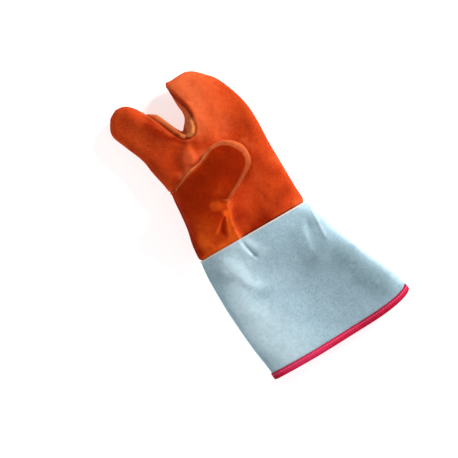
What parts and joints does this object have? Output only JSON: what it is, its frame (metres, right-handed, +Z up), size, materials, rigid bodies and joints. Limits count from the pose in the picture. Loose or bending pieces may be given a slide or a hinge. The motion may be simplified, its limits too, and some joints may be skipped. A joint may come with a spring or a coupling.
{
  "type": "three-finger oven glove",
  "caption": "Thick split-leather oven glove with a mitt for three fingers, its own index finger and thumb, and a long flared gauntlet cuff with a bound hem.",
  "frame": {"origin": "under the middle of the glove's bounding box, on the surface it lies on", "axes": "+Y from the hem to the fingertips, +Z up out of the palm, +X towards the little finger"},
  "size_m": [0.2086, 0.3616, 0.0665],
  "materials": {
    "palm_leather": "napped split leather",
    "back_leather": "napped split leather",
    "gusset_leather": "napped split leather",
    "thumb_leather": "napped split leather",
    "thumb_inner_leather": "napped split leather",
    "cuff_leather": "napped split leather",
    "binding_tape": "woven tape"
  },
  "bodies": {
    "root": {"palm": "palm_leather", "back": "back_leather", "finger_gusset": "gusset_leather", "thumb_outer": "thumb_leather", "thumb_inner": "thumb_inner_leather", "cuff": "cuff_leather", "cuff_binding": "binding_tape"}
  },
  "joints": []
}
